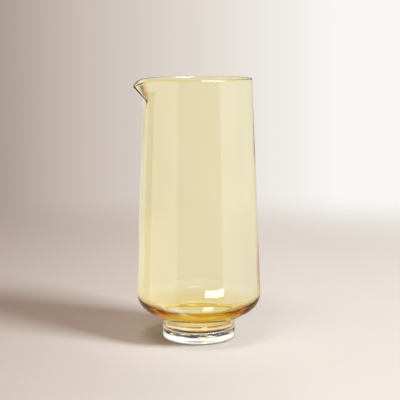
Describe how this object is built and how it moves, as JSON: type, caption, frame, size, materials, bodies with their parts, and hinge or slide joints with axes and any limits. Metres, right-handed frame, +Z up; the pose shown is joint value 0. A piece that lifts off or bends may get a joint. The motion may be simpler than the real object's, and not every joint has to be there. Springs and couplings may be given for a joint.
{
  "type": "water pitcher",
  "caption": "Handle-less water pitcher: a tall, slightly tapered body of pale amber glass with a pulled pouring lip, on a short collar and a thick disc foot of clear glass.",
  "frame": {"origin": "on the vessel's axis, at the flat underside of the clear foot", "axes": "+Z up along the vessel's axis, -X towards the pouring lip, +Y completes a right-handed frame"},
  "size_m": [0.1094, 0.1048, 0.22],
  "materials": {
    "amber_glass": "fire-polished, transparent, pale amber in the mass",
    "clear_glass": "fire-polished, transparent and colourless"
  },
  "bodies": {
    "root": {"amber_body": "amber_glass", "clear_foot": "clear_glass"}
  },
  "joints": []
}
